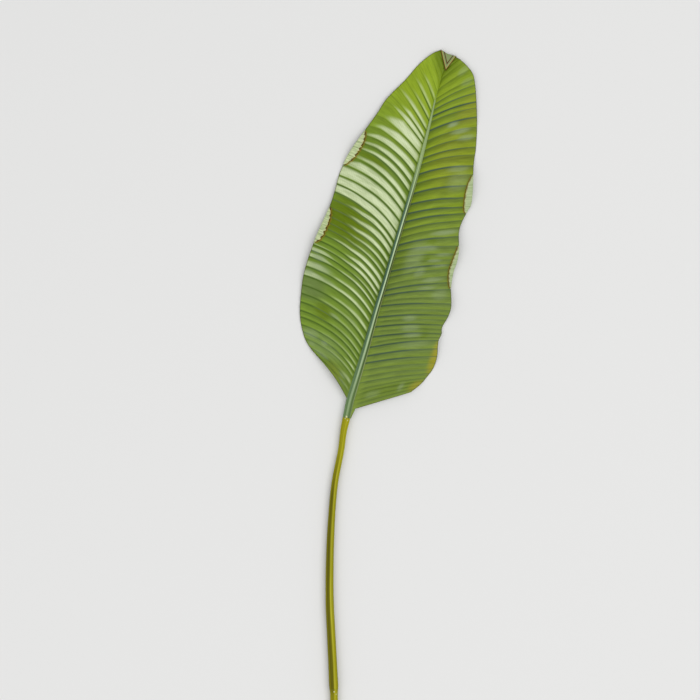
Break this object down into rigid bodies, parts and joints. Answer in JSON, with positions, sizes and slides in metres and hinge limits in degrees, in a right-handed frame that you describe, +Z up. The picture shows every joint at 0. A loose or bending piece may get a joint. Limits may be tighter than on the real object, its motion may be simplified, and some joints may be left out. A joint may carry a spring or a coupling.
{
  "type": "banana leaf",
  "caption": "Banana leaf cut with its long stalk, lying face up: a pleated blade with wavy, partly turned-over margins on a grooved midrib.",
  "frame": {"origin": "under the middle of the leaf's outline, on the surface that the leaf lies on", "axes": "+Y from the cut foot of the stalk to the tip of the blade, +Z up from the upper face of the leaf, +X to the blade's right half"},
  "size_m": [0.2484, 0.9808, 0.0246],
  "materials": {
    "blade": "satin",
    "midrib": "satin",
    "stalk": "satin"
  },
  "bodies": {
    "root": {"blade": "blade", "midrib": "midrib", "petiole": "stalk", "petiole_foot": "stalk"}
  },
  "joints": []
}
